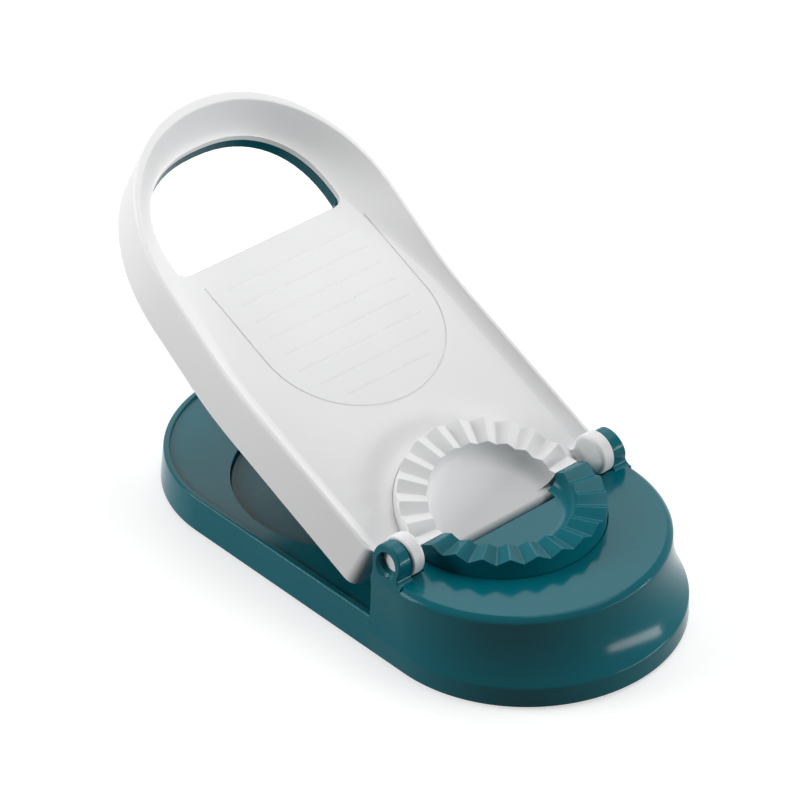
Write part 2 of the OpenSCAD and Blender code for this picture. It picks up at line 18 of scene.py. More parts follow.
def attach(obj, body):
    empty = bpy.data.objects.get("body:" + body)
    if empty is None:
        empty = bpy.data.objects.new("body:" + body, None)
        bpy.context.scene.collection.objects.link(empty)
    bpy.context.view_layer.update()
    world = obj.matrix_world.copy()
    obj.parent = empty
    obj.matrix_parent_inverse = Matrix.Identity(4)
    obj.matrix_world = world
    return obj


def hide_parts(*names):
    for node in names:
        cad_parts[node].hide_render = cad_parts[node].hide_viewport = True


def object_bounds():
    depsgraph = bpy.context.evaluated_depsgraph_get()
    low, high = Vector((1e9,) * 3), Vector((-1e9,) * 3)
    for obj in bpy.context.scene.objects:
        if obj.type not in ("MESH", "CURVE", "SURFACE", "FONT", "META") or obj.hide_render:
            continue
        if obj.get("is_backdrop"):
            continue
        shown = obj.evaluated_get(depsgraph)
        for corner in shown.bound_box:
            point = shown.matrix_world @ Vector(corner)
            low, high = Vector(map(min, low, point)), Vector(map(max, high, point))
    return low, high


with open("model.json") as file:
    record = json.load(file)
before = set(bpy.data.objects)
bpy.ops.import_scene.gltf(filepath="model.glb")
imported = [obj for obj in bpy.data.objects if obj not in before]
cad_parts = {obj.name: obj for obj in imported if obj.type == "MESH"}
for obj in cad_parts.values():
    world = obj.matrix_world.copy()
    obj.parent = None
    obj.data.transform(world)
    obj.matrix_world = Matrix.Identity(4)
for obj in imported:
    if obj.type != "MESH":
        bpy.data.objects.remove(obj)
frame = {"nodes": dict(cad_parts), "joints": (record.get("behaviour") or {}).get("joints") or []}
cad_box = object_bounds()
print("pieces in the frame:", len(frame["nodes"]))
print("box in mm:", [[round(1000 * x, 1) for x in corner] for corner in cad_box])

# %% [markdown]
# ## Two drawing boards
# A moulder draws the base standing on the table, and the lid lying closed with its hinge at
# the origin. Each piece could be drawn where it stands in the scene, but a tilted lid is hard
# to draw. So every piece is drawn in millimetres on its own board, and one matrix per board
# carries it to its place. The lid's board also mirrors x, so that +x points to the handle.

# %% The two boards
MM = 0.001
hinge = Vector(frame["joints"][0]["pos_m"])
open_angle = radians(-frame["joints"][0]["range_deg"][0])
base_board = Matrix.Translation((hinge.x, 0, 0)) @ Matrix.Scale(MM, 4)
lid_board = (Matrix.Translation(hinge) @ Matrix.Rotation(open_angle, 4, "Y")
             @ Matrix.Scale(-1, 4, (1, 0, 0)) @ Matrix.Scale(MM, 4))
hinge_z = hinge.z / MM
print("hinge height in mm:", round(hinge_z, 2))
print("lid stands open by degrees:", round(degrees(open_angle), 1))

# %% [markdown]
# ## Sizes
# These are the press's driving sizes, in millimetres, as the construction has them. All the
# outlines below are worked out from them, so that the smooth pieces meet the measured ones.

# %% Driving sizes
# The base: its plan, heights, walls and the leaning sides
base_len, base_w, hinge_to_front = 229.0, 115.0, 70.5
rear_rim_z, front_deck_z, base_wall, foot_lift = 14.5, 34.0, 2.4, 1.0
rear_lean, front_lean, flare_run, foot_band, flare_power, deck_round = 1.4, 2.1, 7.8, 9.0, 2.8, 2.2
rim_band, deck_drop = 2.5, 1.0
# The ears of the base and the lid's barrels and pins
ear_inset, ear_t, ear_r, ear_overhang = 5.0, 4.7, 7.0, 0.7
barrel_r, barrel_len, pin_r, run_gap = 7.8, 5.6, 4.15, 0.05
# The lid: its plan and wall, the rim, the bend, the hand hole and the handle's end
lid_len, lid_inset, lid_wall, lid_corner, lid_lift = 190.0, 2.9, 2.4, 5.0, 0.6
rim_drop, panel_drop, lid_lean, rim_slope_w, rim_w = 4.2, 7.35, 1.2, 4.6, 2.0
bend_at, bend_rise, bend_soft = 92.0, 0.2, 12.0
hole_at, hole_w, hole_len, hole_rise = 136.4, 76.8, 42.6, 0.16
end_at, end_power, hole_power, hole_corner, hole_ledge, tip_band = 128.0, 2.1, 2.33, 4.0, 1.0, 2.0
# The toothed half rings with their bowls, the dough bed, and the nose of the upper ring
ring_r, ring_band, tooth_h, teeth = 37.4, 10.8, 2.5, 12
bowl_r, bite_gap, bowl_sink, pocket_depth, split = 20.0, 0.4, 0.25, 5.4, 0.35
bed_at, bed_r, bed_t, bed_drop = 75.0, 48.0, 2.2, 2.9
nose_r, nose_x, nose_gap = 2.6, 1.6, 0.7
# Clearances and screws
slip_gap, swing_gap, end_gap, seat_gap = 0.15, 0.5, 0.25, 0.3
screw_r, screw_len, boss_r, thread_gap = 1.4, 8.0, 3.6, 0.02
print("base", base_len, "by", base_w, "mm, toothed ring", 2 * ring_r, "mm across")

# %% [markdown]
# The other sizes follow from those. Working them out here, rather than typing them in, keeps
# the lid clear of the base and the two half rings in step if a driving size ever changes.

# %% Sizes worked out from them
half_w = base_w / 2
rear_x = hinge_to_front - base_len + half_w
foot_x = hinge_to_front - half_w
deck_r = half_w - front_lean
deck_x = hinge_to_front - flare_run - deck_r
step_x = ear_overhang - ear_r
ear_out = half_w - ear_inset
ear_in = ear_out - ear_t
bed_z = rear_rim_z - bed_drop
lid_half = half_w - lid_inset
lid_front = ear_r + swing_gap
skirt_w = rear_rim_z + seat_gap - hinge_z
panel_half = lid_half - lid_lean - rim_w - rim_slope_w
panel_taper = (panel_half - hole_w / 2 - hole_ledge) / (hole_at - bend_at)
barrel_y = ear_in - end_gap - barrel_len
ring_in = ring_r - ring_band
pocket_r = ring_r + slip_gap
mould_seat_z = front_deck_z - pocket_depth
nose_w = -panel_drop - bowl_sink - nose_r
upper_seat = nose_w - nose_r
shelf_z = hinge_z + upper_seat - nose_gap
notch_x, notch_y = nose_x + nose_r + nose_gap, ring_in + nose_gap
print("lid half width", round(lid_half, 2), "mm")
print("inner radius of the toothed ring", round(ring_in, 2), "mm")

# %% [markdown]
# ## The photographer's camera
# The press was photographed from its front right with a long lens, so its sides hardly
# converge. A long lens could be faked with an orthographic camera, but then the handle would
# come out too large. The place and tilt here were fitted to the press's straight edges.

# %% Camera


def toward(azimuth, elevation):
    """Direction seen from the press; azimuth 0 is over -Y, and 90 over +X."""
    a, e = radians(azimuth), radians(elevation)
    return Vector((sin(a) * cos(e), -cos(a) * cos(e), sin(e)))


def placed(name, data):
    """New object in the scene, turned by a quaternion."""
    made = bpy.data.objects.new(name, data)
    bpy.context.scene.collection.objects.link(made)
    made.rotation_mode = "QUATERNION"
    return made


camera_azimuth, camera_elevation, camera_roll = 49.134, 34.485, -0.907
camera_data = bpy.data.cameras.new("studio_camera")
camera_data.sensor_width = 36
camera_data.lens = 207.7
camera_data.clip_start, camera_data.clip_end = 0.05, 20
camera = placed("studio_camera", camera_data)
camera.rotation_quaternion = (toward(camera_azimuth, camera_elevation).to_track_quat("Z", "Y")
                              @ Matrix.Rotation(radians(camera_roll), 4, "Z").to_quaternion())
camera.location = (1.0147, -0.8860, 0.9863)
bpy.context.scene.camera = camera
print("camera", [round(x, 3) for x in camera.location])

# %% [markdown]
# ## White paper and a white room
# Finishes, paper and room are small trees of shader nodes. Four helpers keep them short: a
# node, a range, a colour between two, and a factor that tells which rays see the surface.

# %% Helpers for shader nodes


def shader_node(tree, kind, **sockets):
    """New shader node, with values for some of its sockets."""
    made = tree.nodes.new("ShaderNode" + kind)
    for name, value in sockets.items():
        made.inputs[name].default_value = value
    return made


def ranged(tree, value, before, after):
    """A value moved from one range onto another."""
    change = shader_node(tree, "MapRange")
    tree.links.new(value, change.inputs["Value"])
    for name, number in zip(("From Min", "From Max", "To Min", "To Max"), (*before, *after)):
        change.inputs[name].default_value = number
    return change.outputs["Result"]


def blended(tree, factor, first, second):
    """Colour that goes from one to another with the factor."""
    mix = shader_node(tree, "Mix")
    mix.data_type = "RGBA"
    mix.inputs["A"].default_value, mix.inputs["B"].default_value = (*first, 1), (*second, 1)
    tree.links.new(factor, mix.inputs["Factor"])
    return mix.outputs["Result"]


def seen_directly(tree):
    """Factor that is 1 for rays from the camera and for those that mirror or pass glass."""
    path = shader_node(tree, "LightPath")
    total = path.outputs["Is Camera Ray"]
    for name in ("Is Glossy Ray", "Is Transmission Ray"):
        either = shader_node(tree, "Math")
        either.operation = "MAXIMUM"
        tree.links.new(total, either.inputs[0])
        tree.links.new(path.outputs[name], either.inputs[1])
        total = either.outputs[0]
    return total


print("shader helpers: shader_node, ranged, blended, seen_directly")

# %% [markdown]
# The press was photographed on a white sweep, with only a faint shadow under it. Flooding the
# scene with light would give that too, but it would also bleach the plastic. So the paper and
# the room are white only where they are seen, and to the press itself they are nearly black.

# %% The white room
world = bpy.data.worlds.new("white_room")
bpy.context.scene.world = world
world.use_nodes = True
tree = world.node_tree
tree.nodes.clear()
room_light = shader_node(tree, "Background", Color=(0.93, 0.96, 1, 1), Strength=0.04)
room_seen = shader_node(tree, "Background", Color=(1, 1, 1, 1), Strength=1.0)
room_mix, room_out = shader_node(tree, "MixShader"), shader_node(tree, "OutputWorld")
tree.links.new(seen_directly(tree), room_mix.inputs[0])
tree.links.new(room_light.outputs[0], room_mix.inputs[1])
tree.links.new(room_seen.outputs[0], room_mix.inputs[2])
tree.links.new(room_mix.outputs[0], room_out.inputs["Surface"])
print("room strength", round(room_light.inputs["Strength"].default_value, 3))

# %% [markdown]
# The paper is one level sheet. Near the press it is part lamp light and part a glow of its own,
# so that a shadow still shows on it. Far away no lamp reaches it and the glow does all the
# work. A glow at full strength everywhere would be simpler, but it would drown the shadow.

# %% White paper
floor_mesh = bpy.data.meshes.new("studio_floor")
floor_reach = 3.0
floor_corners = [(x * floor_reach, y * floor_reach, 0) for x, y in ((-1, -1), (1, -1), (1, 1), (-1, 1))]
floor_mesh.from_pydata(floor_corners, [], [(0, 1, 2, 3)])
floor = placed("studio_floor", floor_mesh)
paper = bpy.data.materials.new("white_paper")
paper.use_nodes = True
tree = paper.node_tree
tree.nodes.clear()
matt, glow = shader_node(tree, "BsdfDiffuse"), shader_node(tree, "Emission", Color=(1, 1, 1, 1))
seen = seen_directly(tree)
paper_tone = blended(tree, seen, (0.03, 0.03, 0.03), (0.55, 0.55, 0.55))
tree.links.new(paper_tone, matt.inputs["Color"])
place, away = shader_node(tree, "TexCoord"), shader_node(tree, "VectorMath")
away.operation = "LENGTH"
tree.links.new(place.outputs["Object"], away.inputs[0])
glow_metres, glow_strengths = (0.25, 1.1), (0.6, 1.0)  # near the press and far from it
fade, strength = ranged(tree, away.outputs["Value"], glow_metres, glow_strengths), shader_node(tree, "Math")
strength.operation = "MULTIPLY"
tree.links.new(seen, strength.inputs[0])
tree.links.new(fade, strength.inputs[1])
tree.links.new(strength.outputs[0], glow.inputs["Strength"])
both, paper_out = shader_node(tree, "AddShader"), shader_node(tree, "OutputMaterial")
tree.links.new(matt.outputs[0], both.inputs[0])
tree.links.new(glow.outputs[0], both.inputs[1])
tree.links.new(both.outputs[0], paper_out.inputs["Surface"])
floor_mesh.materials.append(paper)
floor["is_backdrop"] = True
print("paper of", 2 * floor_reach, "m, glow near and far", glow_strengths)

# %% [markdown]
# ## Lamps
# Glossy plastic shows its lamps as bright edges, so soft boxes suit it and a sun would give
# hard sparks. The wide one behind shines back from the level decks. The one at the left lights
# the lid's side, the low flat one draws the streak on the flared foot, and the one above fills
# the bowls. The strength of each was balanced against tones measured across the press.

# %% Lamps


def hang(name, data, azimuth, elevation, distance, aim=(0, 0, 0)):
    """Hangs a lamp that looks at a point."""
    direction = toward(azimuth, elevation)
    lamp = placed(name, data)
    lamp.location = Vector(aim) + direction * distance
    lamp.rotation_quaternion = direction.to_track_quat("Z", "Y")
    print(name, "at", [round(x, 2) for x in lamp.location])


# Name, azimuth and elevation in degrees, distance and size in metres, power in watts
soft_boxes = (
    ("lamp_behind", 229, 45, 1.8, (1.7, 1.3), 13.6),
    ("lamp_left", 322, 20, 1.5, (0.9, 0.8), 18.5),
    ("lamp_streak", 126, 6, 1.4, (1.0, 0.22), 9.5),
    ("lamp_above", 150, 70, 1.5, (1.0, 1.0), 10.5))
for name, azimuth, elevation, distance, size, watts in soft_boxes:
    softbox = bpy.data.lights.new(name, "AREA")
    softbox.shape = "RECTANGLE"
    softbox.size, softbox.size_y = size
    softbox.energy = watts
    hang(name, softbox, azimuth, elevation, distance)

# %% [markdown]
# The inside of the handle faces away from all of them. A wider soft box there would also wash
# out the base below it, so a spot with a narrow cone is aimed through the handle instead.

# %% Spot for the handle
handle_middle = (-0.115, 0.015, 0.112)
snoot = bpy.data.lights.new("lamp_handle", "SPOT")
snoot.spot_size, snoot.spot_blend = radians(9), 0.35
snoot.shadow_soft_size = 0.05
snoot.energy = 20.5
hang("lamp_handle", snoot, 60, 24, 1.3, handle_middle)
bpy.context.scene.view_settings.view_transform = "Standard"

# %% [markdown]
# ## Moulded plastic
# Both halves are injection moulded. The base is a deep teal with a polished face, and the lid
# a white with a satin one. A single colour would look like paint on a toy, so each finish has
# three faint layers: slow drift of the pigment, uneven gloss where hands rub it, and the
# orange peel that a steel mould leaves. They follow the object's own coordinates.

# %% Finishes
peel_depth = 0.0002


def moulded(name, colour, shade, gloss, peel, peel_size, specular):
    """Plastic finish: two close colours, two close roughnesses and a fine peel."""
    material = bpy.data.materials.new(name)
    material.use_nodes = True
    tree = material.node_tree
    plastic = tree.nodes["Principled BSDF"]
    plastic.inputs["Specular IOR Level"].default_value = specular
    place = shader_node(tree, "TexCoord")

    def drift(scale, detail, low, high):
        noise = shader_node(tree, "TexNoise", Scale=scale, Detail=detail)
        tree.links.new(place.outputs["Object"], noise.inputs["Vector"])
        return ranged(tree, noise.outputs["Fac"], (0.3, 0.7), (low, high))

    pigment = blended(tree, drift(28, 3, 0, 1), colour, shade)
    tree.links.new(pigment, plastic.inputs["Base Color"])
    tree.links.new(drift(60, 5, *gloss), plastic.inputs["Roughness"])
    bump = shader_node(tree, "Bump", Strength=peel, Distance=peel_depth)
    tree.links.new(drift(1 / peel_size, 2, 0, 1), bump.inputs["Height"])
    tree.links.new(bump.outputs["Normal"], plastic.inputs["Normal"])
    return material


teal = moulded("polished_teal", (0.0012, 0.127, 0.162), (0.001, 0.119, 0.153),
               gloss=(0.12, 0.18), peel=0.02, peel_size=0.0016, specular=0.12)
# The grained teal's rougher gloss and deeper peel are its own, but its darker colour is painted shade for
# the underplate, press plate, bottom cover and dough bed, which sit in shadow.
shade_painted_teal = moulded("grained_teal_painted_shade", (0.0012, 0.085, 0.108), (0.001, 0.078, 0.100),
                    gloss=(0.26, 0.36), peel=0.08, peel_size=0.0009, specular=0.13)
white = moulded("satin_white", (0.80, 0.80, 0.80), (0.785, 0.785, 0.79),
                gloss=(0.40, 0.50), peel=0.03, peel_size=0.0012, specular=0.2)
rubber = moulded("foot_rubber", (0.032, 0.033, 0.036), (0.04, 0.04, 0.042),
                 gloss=(0.68, 0.82), peel=0.3, peel_size=0.0006, specular=0.3)
print("moulded finishes:", [finish.name for finish in (teal, shade_painted_teal, white, rubber)])

# %% [markdown]
# The screws are zinc plated steel. Brushed steel could use anisotropy, but screws this small
# only show a soft streaky gloss, so a noise stretched along the shank is enough.

# %% Steel of the screws
steel = bpy.data.materials.new("plated_steel")
steel.use_nodes = True
tree = steel.node_tree
metal = tree.nodes["Principled BSDF"]
metal.inputs["Base Color"].default_value = (0.55, 0.56, 0.58, 1)
metal.inputs["Metallic"].default_value = 1
place, along_shank = shader_node(tree, "TexCoord"), shader_node(tree, "Mapping", Scale=(900, 900, 120))
streaks = shader_node(tree, "TexNoise", Scale=1.0, Detail=4)
tree.links.new(place.outputs["Object"], along_shank.inputs["Vector"])
tree.links.new(along_shank.outputs["Vector"], streaks.inputs["Vector"])
steel_gloss = (0.22, 0.5)
tree.links.new(ranged(tree, streaks.outputs["Fac"], (0, 1), steel_gloss), metal.inputs["Roughness"])
print(steel.name, "roughness", steel_gloss)

# %% [markdown]
# ## Solids from rings
# A moulded shell is a stack of closed outlines: foot, band, flare, rounded edge, deck. Each
# outline here starts on the +y side, runs to its tip and comes back mirrored, so a list for
# one side is enough. Sculpting would be quicker to start, but rings keep every size exact.

# %% Outlines


def quarter(x0, a, b, power, steps=40):
    """Quarter of a superellipse from its side to its tip."""
    points = []
    for i in range(steps + 1):
        t = pi / 2 * i / steps
        y = 0 if i == steps else b * cos(t) ** (2 / power)
        points.append((x0 + a * sin(t) ** (2 / power), y))
    return points


quarter_turn = [pi / 2 * i / 6 for i in range(7)]


def whole(side):
    """Closed outline from the points of its +y side, which end on y = 0."""
    return list(side) + [(x, -y, z) for x, y, z in reversed(side[:-1])]


print("points on a quarter of an outline:", len(quarter(0, 1, 1, 2)))

# %% [markdown]
# Between one outline and the next a wall is woven of four-sided faces, and the first and the
# last are closed. Where an end isn't level, narrow strips from side to side close it, because
# one large face would fold in places nobody chose.

# %% Solids through outlines


def solid(points, faces):
    """Closed mesh with its faces turned outward."""
    shape = bmesh.new()
    corners = [shape.verts.new(p) for p in points]
    for face in faces:
        shape.faces.new([corners[i] for i in face])
    bmesh.ops.recalc_face_normals(shape, faces=shape.faces)
    mesh = bpy.data.meshes.new("solid")
    shape.to_mesh(mesh)
    shape.free()
    return mesh


def stack(rings, strips=False):
    """Solid through closed outlines, with whole faces or strips for its ends."""
    n, top = len(rings[0]), (len(rings) - 1) * len(rings[0])
    faces = []
    for level in range(len(rings) - 1):
        for i in range(n):
            j = (i + 1) % n
            faces.append((level * n + i, level * n + j, (level + 1) * n + j, (level + 1) * n + i))
    ends = [tuple(range(n))]
    if strips:
        k = (n - 1) // 2
        ends = [(i, i + 1, n - 2 - i, n - 1 - i) for i in range(k - 1)] + [(k - 1, k, k + 1)]
    for end in ends:
        faces.append(tuple(reversed(end)))
        faces.append(tuple(top + i for i in end))
    return solid([p for ring in rings for p in ring], faces)


def loft(sides):
    """Solid through a stack of mirrored outlines."""
    return stack([whole(side) for side in sides], strips=True)


# %% [markdown]
# Plain cutters do the rest: pockets, bores and bosses are discs, prisms and boxes, and turned
# forms such as the bowls come from a profile that goes once round.

# %% Discs, prisms, boxes and turned forms


def prism(outline, low, high, axis="Z"):
    """Straight solid over an outline; along Y the outline is in x and z."""
    n = len(outline)
    flat = [(x, y, z) for z in (low, high) for x, y in outline]
    if axis == "Y":
        flat = [(x, z, y) for x, y, z in flat]
    faces = [tuple(range(n)), tuple(range(n, 2 * n))]
    faces += [(i, (i + 1) % n, n + (i + 1) % n, n + i) for i in range(n)]
    return solid(flat, faces)


def circle(radius, x=0.0, y=0.0, steps=96, start=0.0, turn=360.0):
    """Points of a full circle, or of an arc where the turn is less."""
    count = steps if turn == 360 else steps + 1
    angles = [radians(start + turn * i / steps) for i in range(count)]
    return [(x + radius * cos(a), y + radius * sin(a)) for a in angles]


def drilled(places, radius, low, high, steps=24):
    """Cuts for a row of upright round holes."""
    return [("cut", prism(circle(radius, x, y, steps), low, high)) for x, y in places]


def box(x0, x1, y0, y1, z0, z1):
    return prism([(x0, y0), (x1, y0), (x1, y1), (x0, y1)], z0, z1)


def turned(profile, steps=144, x=0.0):
    """Solid of revolution round a vertical axis; the profile starts and ends on the axis."""
    points, faces = [(x, 0, profile[0][1]), (x, 0, profile[-1][1])], []
    rim = profile[1:-1]
    for i in range(steps):
        a = 2 * pi * i / steps
        points += [(x + r * cos(a), r * sin(a), z) for r, z in rim]
    n = len(rim)
    for i in range(steps):
        here, there = 2 + i * n, 2 + (i + 1) % steps * n
        faces.append((0, there, here))
        faces.append((1, here + n - 1, there + n - 1))
        faces += [(here + j, there + j, there + j + 1, here + j + 1) for j in range(n - 1)]
    return solid(points, faces)


def on_hinge(profile, side, height=0.0):
    """Form turned round the hinge axis; the profile gives radii and distances toward one side."""
    mesh = turned([(r, side * y) for r, y in profile], 96)
    mesh.transform(Matrix.Translation((0, 0, height)) @ Matrix.Rotation(-pi / 2, 4, "X"))
    return mesh


# %% [markdown]
# ## Cutting and joining
# Pockets and bosses are cut and joined as a machinist would. Blender's exact solver would do,
# and its newer manifold solver is many times faster on closed solids, which these all are.

# %% Cutting and joining


def worked(mesh, *steps):
    """The mesh after a row of cuts and joins, each given as a word and another solid."""
    for how, tool_mesh in steps:
        stock, tool = placed("stock", mesh), placed("tool", tool_mesh)
        change = stock.modifiers.new(how, "BOOLEAN")
        change.operation = {"cut": "DIFFERENCE", "join": "UNION"}[how]
        change.solver = "MANIFOLD"
        change.object = tool
        bpy.context.view_layer.update()
        evaluated = stock.evaluated_get(bpy.context.evaluated_depsgraph_get())
        result = bpy.data.meshes.new_from_object(evaluated)
        if len(result.vertices) == len(mesh.vertices):
            print("this", how, "changed nothing")
        bpy.data.objects.remove(stock)
        bpy.data.objects.remove(tool)
        mesh = result
    return mesh


# %% [markdown]
# A finished mesh is welded, shaded smooth with sharp creases kept, and handed to the frame: it
# rides on the base or the lid and takes the place of one measured node. A bevel on every edge
# would soften more, but the outlines already carry their own rounds.

# %% Placing a piece
weld_m, sliver_m, crease = 2e-6, 1e-6, radians(35)


def piece(name, mesh, board, body, material, node):
    """Puts a finished mesh in its place with clean shading, and replaces the measured node."""
    mesh.transform(board)
    if board.determinant() < 0:
        mesh.flip_normals()
    mesh.materials.clear()
    mesh.materials.append(material)
    tidy = bmesh.new()
    tidy.from_mesh(mesh)
    bmesh.ops.remove_doubles(tidy, verts=tidy.verts, dist=weld_m)
    bmesh.ops.dissolve_degenerate(tidy, edges=tidy.edges, dist=sliver_m)
    tidy.to_mesh(mesh)
    tidy.free()
    for face in mesh.polygons:
        face.use_smooth = True
    mesh.name = name
    made = bpy.data.objects.new(name, mesh)
    bpy.context.scene.collection.objects.link(made)
    mesh.set_sharp_from_angle(angle=crease)
    even = made.modifiers.new("even_shading", "WEIGHTED_NORMAL")
    even.keep_sharp = True
    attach(made, body)
    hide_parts(node)
    print(name, "has", len(mesh.polygons), "faces")


# %% [markdown]
# ## The base shell
# The base is one deep moulding, open below. Seen from above it is a racetrack. Its front half
# rises to a high deck, and the wall under that deck sweeps out to the foot in a hollow curve,
# so it is a stack of outlines whose reach follows a steep power of the height. Turning one
# profile round would not do, because the straight sides are upright and only the end flares.

# %% Front block with its flare
foot_soft, band_soft, flare_even, deck_bulge = 0.5, 0.1, 1.2, 0.16


def rounded(inset, level, radius, turn=1, steps=6):
    """Inset and height of a rounded upper edge; with turn = -1 of a lower edge."""
    rows = []
    for i in range(steps + 1):
        t = pi / 2 * i / steps
        rows.append((inset + radius * (1 - cos(t)), level - turn * radius * (1 - sin(t))))
    return rows if turn > 0 else rows[::-1]


def flare(z):
    """Share of the flare's reach at one height."""
    if z < foot_band:
        return 1.0
    return ((front_deck_z - z) / (front_deck_z - foot_band)) ** flare_power


def front_side(z, inset, back_x):
    """Half of the front block's outline at one height, from the step to the front tip."""
    f = flare(z)
    radius = deck_r + (half_w - deck_r) * f - inset
    x = deck_x + (foot_x - deck_x) * f
    straight = [(back_x + (x - back_x) * i / 6, radius, z) for i in range(6)]
    return straight + [(px, py, z) for px, py in quarter(x, radius, radius, 2, 56)]


def front_block():
    """The front block; the crease over its foot band and its deck's edge are eased a little."""
    rows = rounded(0, foot_lift, foot_soft, -1)
    rows += [(0, foot_band - 0.5), (0.03, foot_band - 0.25), (band_soft, foot_band),
             (0.03, foot_band + 0.25)]
    rise = front_deck_z - deck_round - foot_band
    rows += [(0, foot_band + 0.5 + (rise - 0.5) * (i / 16) ** flare_even) for i in range(16)]
    for t in (i / 8 for i in range(8)):
        rows.append((deck_round * (0.5 * t * (1 - t) + t * t),
                     front_deck_z - deck_round * (1 - t) * (1 - deck_bulge * t)))
    rows += [(deck_round - 0.12, front_deck_z - 0.1), (deck_round + 0.02, front_deck_z - 0.03),
             (deck_round + 0.2, front_deck_z)]
    return loft([front_side(z, inset, step_x) for inset, z in rows])


print("the foot stands out", round(half_w - deck_r, 2), "mm at the sides and",
      round(foot_x + half_w - deck_x - deck_r, 2), "mm at the front")

# %% [markdown]
# The rear half is low, with its deck sunk a little inside a raised rim that keeps flour in. Its
# side leans inward, so that the moulding leaves its tool easily.

# %% Rear block with its rim
block_lap, rim_outer_round, rim_inner_round, deck_hollow = 3, 0.9, 0.5, 0.3


def rear_side(radius, z, front_x):
    """Half of the low racetrack, given from its straight front end to its round rear tip."""
    straight = [(front_x + (rear_x - front_x) * i / 6, radius, z) for i in range(6)]
    arc = [(rear_x - radius * sin(t), 0 if i == 56 else radius * cos(t), z)
           for i, t in ((i, pi / 2 * i / 56) for i in range(57))]
    return straight + arc


def rear_block():
    """The rear block, lapping a little way into the front one so that they join."""
    top = half_w - rear_lean
    inner = top - rim_band
    rows = [(half_w - i, z) for i, z in rounded(0, foot_lift, foot_soft, -1)]
    rows += [(top - i, z) for i, z in rounded(0, rear_rim_z, rim_outer_round)]
    rows += [(inner + i, z) for i, z in reversed(rounded(0, rear_rim_z, rim_inner_round))]
    rows += [(inner - deck_hollow * (1 - cos(t)), rear_rim_z - deck_drop + deck_hollow * (1 - sin(t)))
             for t in (0, pi / 4, pi / 2)]
    return loft([rear_side(radius, z, step_x + block_lap) for radius, z in rows])


print("rear rim at", rear_rim_z, "mm, its deck", deck_drop, "mm lower")

# %% [markdown]
# The two ears stand at the sides of the step. They are plates with round tops, and a soft foot
# where they grow out of the deck, because a sharp inner corner would crack there. The inner
# face is upright beside the lid's barrel, and the outer one slants out to the side wall, so
# each ear is a stack of its own outline, from the inner face to the outer.

# %% Ears
ear_foot = front_deck_z - deck_round
ear_spread = half_w - front_lean - 0.1 - ear_out
ear_soft, ear_blend = 0.6, 2.2


def ear_outline(grow):
    """Outline in x and z: a round top, a hollow blend down to the deck, and the foot."""
    radius, lift = ear_r - grow, front_deck_z + ear_blend - hinge_z
    reach = sqrt((ear_r + ear_blend) ** 2 - lift ** 2)
    meet = degrees(atan2(lift, reach))
    top = [(radius * cos(a), hinge_z + radius * sin(a))
           for a in (radians(meet + (204 - meet) * i / 30) for i in range(31))]
    hollow = [(reach + (ear_blend + grow) * cos(a), hinge_z + lift + (ear_blend + grow) * sin(a))
              for a in (radians(270 - (90 - meet) * i / 6) for i in range(6))]
    return [(step_x + grow, ear_foot), (reach, ear_foot)] + hollow + top


def ear(side):
    """One ear, with its inner and outer edges rounded."""
    rings = []
    steps = [pi / 2 * i / 4 for i in range(5)]
    for t in steps:
        y = ear_in + ear_soft * (1 - sin(t))
        rings.insert(0, [(x, side * y, z) for x, z in ear_outline(ear_soft * (1 - cos(t)))])
    slant = ear_spread / (hinge_z + ear_r - ear_foot)
    for t in steps:
        outer = ear_out - ear_soft * (1 - sin(t))
        rings.append([(x, side * (outer + slant * (hinge_z + ear_r - z)), z)
                      for x, z in ear_outline(ear_soft * (1 - cos(t)))])
    return stack(rings)


print("ears", ear_t, "mm thick at the top and", round(ear_t + ear_spread, 2), "mm at the deck")

# %% [markdown]
# Moulded parts keep one wall thickness, or they sink and warp. So the hollow below follows the
# outside at a wall's distance, and walls of the same thickness stand round the ring's pocket,
# the dough bed and the screw bosses.

# %% Hollow of the base
rear_boss_in, mould_boss_out, rear_boss_deg, mould_boss_deg = 11, 8.8, 55, 35
rear_boss_r = half_w - rear_boss_in
mould_boss_r = pocket_r + base_wall + mould_boss_out
base_screw_places = [(x, s * y) for s in (-1, 1) for x, y in (
    (rear_x - rear_boss_r * cos(radians(rear_boss_deg)),
     rear_boss_r * sin(radians(rear_boss_deg))),
    (step_x - 8, ear_out - 8.5),
    (mould_boss_r * cos(radians(mould_boss_deg)),
     mould_boss_r * sin(radians(mould_boss_deg))))]


def base_hollow():
    """Room inside the base, with the walls of its pockets and bosses left standing."""
    wall = base_wall
    levels = [0, foot_band] + [foot_band + (front_deck_z - wall - foot_band) * i / 8 for i in range(1, 9)]
    front = loft([front_side(z, wall, step_x + wall) for z in levels])
    front = worked(
        front,
        ("cut", prism(circle(pocket_r + wall), mould_seat_z - wall, hinge_z)),
        ("cut", box(step_x, split + wall, -half_w, half_w, shelf_z - wall, hinge_z)),
        ("cut", box(step_x, notch_x + wall, -notch_y - wall, notch_y + wall, shelf_z - wall, hinge_z)))
    inner, rear_front_x = half_w - wall, step_x + wall + 1
    rear = loft([rear_side(inner, 0.0, rear_front_x),
                 rear_side(inner - rear_lean, rear_rim_z - deck_drop - wall, rear_front_x)])
    bed = prism(circle(bed_r + slip_gap + wall, -bed_at), bed_z - bed_t - wall, hinge_z)
    bosses = drilled(base_screw_places, boss_r, foot_lift + wall, hinge_z, 32)
    return worked(front, ("join", worked(rear, ("cut", bed))), *bosses)


print("screw bosses of the base:", len(base_screw_places))


# %% [markdown]
# The blocks are joined first and cut afterwards, as a toolmaker would plan it: hollow, bed,
# pocket, the step for the lid, a trough for each barrel and the bores of the hinge. Small cuts
# come last, so that no later join can fill them.

# %% Base shell
ring_screw_in, ring_screw_y = 3, bowl_r * 0.75
lower_screw_places = [(ring_in - ring_screw_in, 0), (13, ring_screw_y), (13, -ring_screw_y)]
